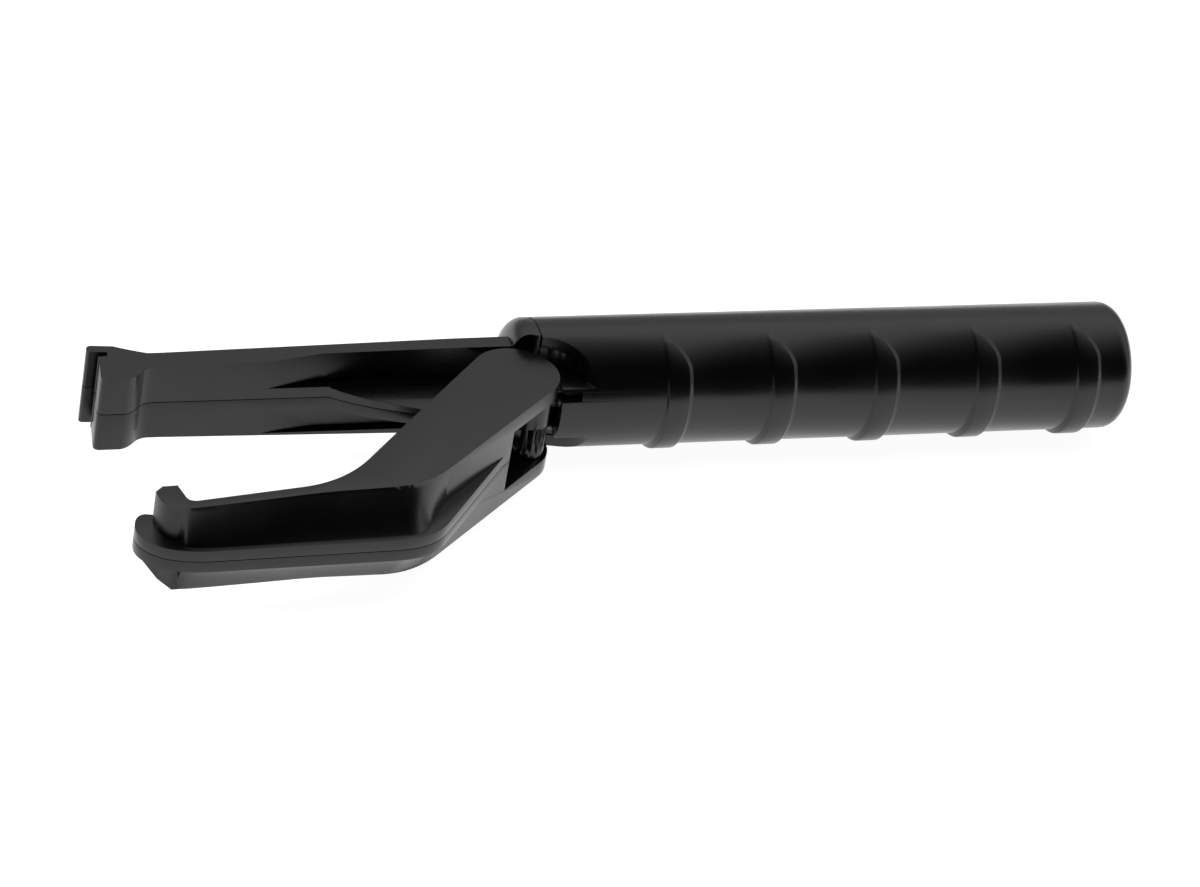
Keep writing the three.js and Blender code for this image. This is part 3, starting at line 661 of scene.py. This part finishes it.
def build_spring():
    """A coil that stretches between the seat in the grip and the washer on the rod."""
    lo, hi = (local(v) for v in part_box("closing_spring"))
    wire, turns, steps, sides = SPRING_WIRE_R, SPRING_TURNS, 40, 14
    x0, x1 = lo.x + wire, hi.x - wire
    r = (hi.z - lo.z) / 2 - wire
    y = (lo.y + hi.y) / 2
    bm = bmesh.new()
    rings = []
    count = turns * steps
    pitch = (x1 - x0) / (turns * 2 * math.pi * r)
    for i in range(count + 1):
        t = i / count
        a = t * turns * 2 * math.pi
        x = x0 + (x1 - x0) * t
        centre = Vector((x, y + r * math.cos(a), r * math.sin(a)))
        out = Vector((0, math.cos(a), math.sin(a)))
        along = Vector((pitch, -math.sin(a), math.cos(a))).normalized()
        up = along.cross(out).normalized()
        ring = []
        for k in range(sides):
            b = 2 * math.pi * k / sides
            ring.append(bm.verts.new(centre + (out * math.cos(b) + up * math.sin(b)) * wire))
        rings.append(ring)
    coil = skinned("closing_coil", bm, rings)
    coil.data.transform(Matrix.Translation(ORIGIN) @ Matrix.Scale(MM, 4))
    for face in coil.data.polygons:
        face.use_smooth = True
    coil.data.materials.append(STEEL)
    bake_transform(coil)
    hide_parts("closing_spring")


# ---- screws with recessed heads ----
SCREW_HEAD_R, SCREW_HEAD_DEPTH, SCREW_SHANK_R = 2.2, 1.3, 1.2
CROSS_REACH, CROSS_HALF_WIDTH, CROSS_DEPTH = 1.3, 0.27, 0.75


def build_screws():
    for node, body in (("gusset_screw", "grip"), ("lever_screw_1", "lever"), ("lever_screw_2", "lever")):
        lo, hi = (local(v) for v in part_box(node))
        cx, cy = (lo.x + hi.x) / 2, (lo.y + hi.y) / 2
        screw = cylinder("Z", lo.z, lo.z + SCREW_HEAD_DEPTH, SCREW_HEAD_R, cx, cy, 48)
        screw = join(screw, cylinder("Z", lo.z + 0.8, hi.z, SCREW_SHANK_R, cx, cy, 32))
        for u, v in ((CROSS_REACH, CROSS_HALF_WIDTH), (CROSS_HALF_WIDTH, CROSS_REACH)):
            screw = cut(screw, block(cx - u, cx + u, cy - v, cy + v, lo.z - 1, lo.z + CROSS_DEPTH))
        soften(screw, 0.12, 2)
        place(screw, node + "_detail", body, STEEL, [node])


def build_bush():
    """The flanged rubber bush at the cable end, with a flared mouth."""
    lo, hi = (local(v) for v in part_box("cable_entry_bush"))
    x0, x1 = lo.x, hi.x
    bush = turned([(x0, 0), (x0, 10.0), (x0 + 0.3, 10.3), (x0 + 3.6, 10.3), (x0 + 3.6, 7.7), (x1 - 0.5, 7.7),
                   (x1, 7.2), (x1, 0)])
    bush = cut(bush, cylinder("X", x0 - 2, x1 + 2, 5.8, 0, 0, 96))
    bush = cut(bush, cylinder("X", x1 - 1.2, x1 + 1, 5.8, 0, 0, 96, 8.3))
    place(bush, "cable_bush", "grip", RUBBER, ["cable_entry_bush"])


build_lever()
build_jaw()
build_grip()
build_spring()
build_screws()
build_bush()

# ---- CAD pieces shown as they are, with rounded shading and their own finish ----
FINISH = {"black_plastic": INNER, "rubber": RUBBER, "brass": BRASS, "copper": COPPER, "steel": STEEL}
slots = {s["node"]: s["material_slot"] for s in frame["record"]["subparts"]}
for name, obj in frame["nodes"].items():
    obj.data.materials.clear()
    obj.data.materials.append(FINISH[slots[name]])
    if not obj.hide_render:
        rim = obj.modifiers.new("edge", "BEVEL")
        rim.width = 0.00015
        rim.segments = 2
        rim.limit_method = "ANGLE"
        rim.angle_limit = math.radians(40)

# ---- setting: pale plain floor, soft light from behind and above ----
bm = bmesh.new()
bmesh.ops.create_grid(bm, x_segments=1, y_segments=1, size=6)
floor = new_object("floor", bm)
pale = bpy.data.materials.new("pale_floor")
pale.use_nodes = True
shader = pale.node_tree.nodes["Principled BSDF"]
shader.inputs["Base Color"].default_value = (0.3, 0.3, 0.3, 1)
shader.inputs["Roughness"].default_value = 0.8
shader.inputs["Specular IOR Level"].default_value = 0.1
shader.inputs["Emission Color"].default_value = (1, 1, 1, 1)
shader.inputs["Emission Strength"].default_value = 0.95
floor.data.materials.append(pale)

world = bpy.data.worlds.new("soft_light")
bpy.context.scene.world = world
world.use_nodes = True
t = world.node_tree
where = t.nodes.new("ShaderNodeTexCoord")
split = t.nodes.new("ShaderNodeSeparateXYZ")
t.links.new(where.outputs["Generated"], split.inputs[0])
away = t.nodes.new("ShaderNodeVectorMath")  # how far a direction points to the back of the scene
away.operation = "DOT_PRODUCT"
away.inputs[1].default_value = (0.383, 0.924, 0)
t.links.new(where.outputs["Generated"], away.inputs[0])
rise = t.nodes.new("ShaderNodeMath")  # 0 at the far horizon, half a turn at the near one
rise.operation = "ARCTAN2"
t.links.new(split.outputs["Z"], rise.inputs[0])
t.links.new(away.outputs["Value"], rise.inputs[1])
turn = t.nodes.new("ShaderNodeMath")
turn.operation = "DIVIDE"
turn.inputs[1].default_value = math.pi
t.links.new(rise.outputs[0], turn.inputs[0])
height = t.nodes.new("ShaderNodeValToRGB")  # a wide soft light high behind, dark in front
ramp = height.color_ramp
ramp.interpolation = "EASE"
LEVELS = ((0, 0.3), (20, 0.4), (33, 0.55), (45, 1.0), (68, 1.0), (80, 0.6), (92, 0.25), (108, 0.05), (125, 0.0),
          (150, 0.0), (180, 0.03))
for degrees, level in LEVELS:
    at = degrees / 180
    stop = ramp.elements[0] if at == 0.0 else ramp.elements[-1] if at == 1.0 else ramp.elements.new(at)
    stop.color = (level, level, level, 1)
t.links.new(turn.outputs[0], height.inputs["Fac"])
t.links.new(height.outputs["Color"], t.nodes["Background"].inputs["Color"])
t.nodes["Background"].inputs["Strength"].default_value = 1.0

lamp = bpy.data.lights.new("overhead", "AREA")
lamp.shape = "DISK"
lamp.size = 1.6
lamp.energy = 12
overhead = bpy.data.objects.new("overhead", lamp)
overhead.location = (0.1, 0.25, 1.3)
overhead.rotation_euler = (math.radians(-8), 0, 0)
overhead.visible_glossy = False
bpy.context.scene.collection.objects.link(overhead)

# ---- camera ----
CAMERA_DISTANCE = 1.166  # metres from the target
# its right, forward and up directions
R = Vector((0.9463, -0.2838, 0.1545)).normalized()
W = Vector((0.3213, 0.7754, -0.5436)).normalized()
U = R.cross(W).normalized()
camera = bpy.data.cameras.new("camera")
camera.sensor_width = 36
camera.lens = 143.1
camera.clip_end = 50
view = bpy.data.objects.new("camera", camera)
target = ORIGIN + Vector((25.57, -9.05, -12.53)) * MM
view.matrix_world = Matrix.Translation(target - W * CAMERA_DISTANCE) @ Matrix((R, U, -W)).transposed().to_4x4()
bpy.context.scene.collection.objects.link(view)
bpy.context.scene.camera = view

bpy.context.scene.view_settings.view_transform = "Standard"

bpy.context.view_layer.update()
